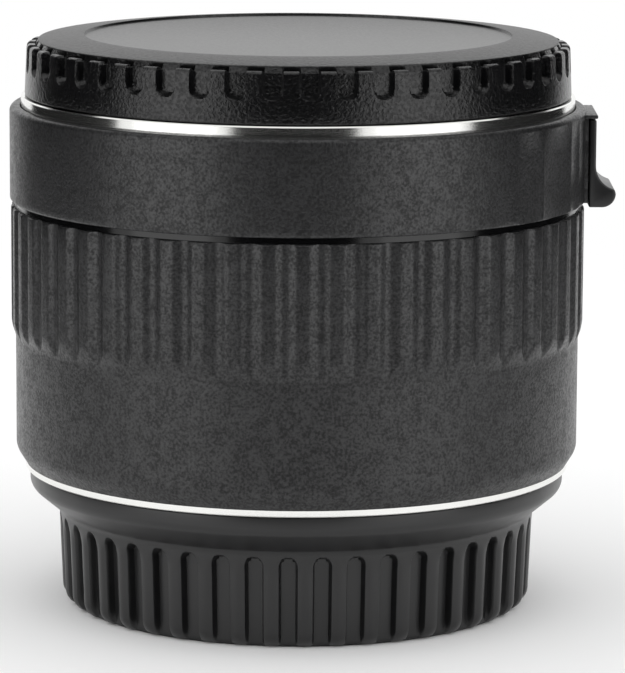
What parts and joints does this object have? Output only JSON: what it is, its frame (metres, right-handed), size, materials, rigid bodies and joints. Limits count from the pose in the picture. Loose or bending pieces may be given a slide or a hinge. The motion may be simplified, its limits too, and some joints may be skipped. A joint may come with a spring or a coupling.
{
  "type": "camera teleconverter",
  "caption": "Cylindrical camera teleconverter with ribbed barrel, metal bayonet mounts, side release lever, contacts and optics, capped at both ends.",
  "frame": {"origin": "centre of the rear cap's standing face, on the optical axis", "axes": "+Z along the optical axis towards the lens side, +X towards the release lever, -Y towards the electrical contacts"},
  "size_m": [0.0717, 0.0682, 0.0679],
  "materials": {
    "cap_plastic": "moulded, fine leather grain",
    "barrel_paint": "matte black with a fine speckle",
    "lever_plastic": "satin moulded",
    "mount_chrome": "turned and plated",
    "screw_steel": "bright",
    "spring_steel": "bright wire and strip",
    "black_anodised": "black anodised",
    "baffle_black": "dull black",
    "contact_gold": "gilt",
    "optical_glass": "coated",
    "board_green": "solder resist",
    "chip_black": "moulded package",
    "connector_white": "moulded",
    "flex_amber": "polyimide film",
    "index_red": "red enamel"
  },
  "bodies": {
    "rear_cap": {"rear_cap": "cap_plastic"},
    "converter": {"main_barrel": "barrel_paint", "upper_barrel": "barrel_paint", "rear_mount_ring": "mount_chrome", "front_mount_ring": "mount_chrome", "rear_mount_screws": "screw_steel", "front_mount_screws": "screw_steel", "lens_barrel_screws": "screw_steel", "barrel_screws": "screw_steel", "rear_baffle_screws": "black_anodised", "guide_rod": "spring_steel", "lever_spring": "spring_steel", "contact_springs": "spring_steel", "bayonet_springs": "spring_steel", "lens_barrel": "black_anodised", "front_spacer": "black_anodised", "middle_spacer": "black_anodised", "rear_spacer": "black_anodised", "front_retaining_ring": "black_anodised", "rear_retaining_ring": "black_anodised", "front_baffle": "baffle_black", "rear_baffle": "baffle_black", "front_contact_block": "baffle_black", "rear_contact_block": "baffle_black", "rear_contact_pads": "contact_gold", "circuit_board": "board_green", "board_chip": "chip_black", "board_connectors": "connector_white", "rear_flex_cable": "flex_amber", "front_flex_cable": "flex_amber", "rear_index_dot": "index_red", "front_index_dot": "index_red", "lens_element_1": "optical_glass", "lens_element_2": "optical_glass", "lens_element_3": "optical_glass", "lens_element_4": "optical_glass", "lens_element_5": "optical_glass", "lens_element_6": "optical_glass", "lens_element_7": "optical_glass"},
    "body_cap": {"body_cap": "cap_plastic"},
    "release_lever": {"release_lever": "lever_plastic", "lever_link": "spring_steel", "lever_screws": "screw_steel", "lock_pin": "spring_steel"},
    "contact_pins": {"contact_pins": "contact_gold"}
  },
  "joints": [
    {"name": "converter_lift", "type": "slide", "parent": "rear_cap", "child": "converter", "axis": [0, 0, 1], "range_m": [0, 0.03]},
    {"name": "body_cap_lift", "type": "slide", "parent": "converter", "child": "body_cap", "axis": [0, 0, 1], "range_m": [0, 0.025]},
    {"name": "release_lever_slide", "type": "slide", "parent": "converter", "child": "release_lever", "axis": [0, 0, -1], "range_m": [0, 0.003], "stiffness_N_per_m": 600, "springref_m": -0.002, "deforming": ["lever_spring"]},
    {"name": "contact_pins_press", "type": "slide", "parent": "converter", "child": "contact_pins", "axis": [0, 0, -1], "range_m": [0, 0.0008], "stiffness_N_per_m": 1500, "springref_m": -0.0006, "deforming": ["contact_springs"]}
  ]
}
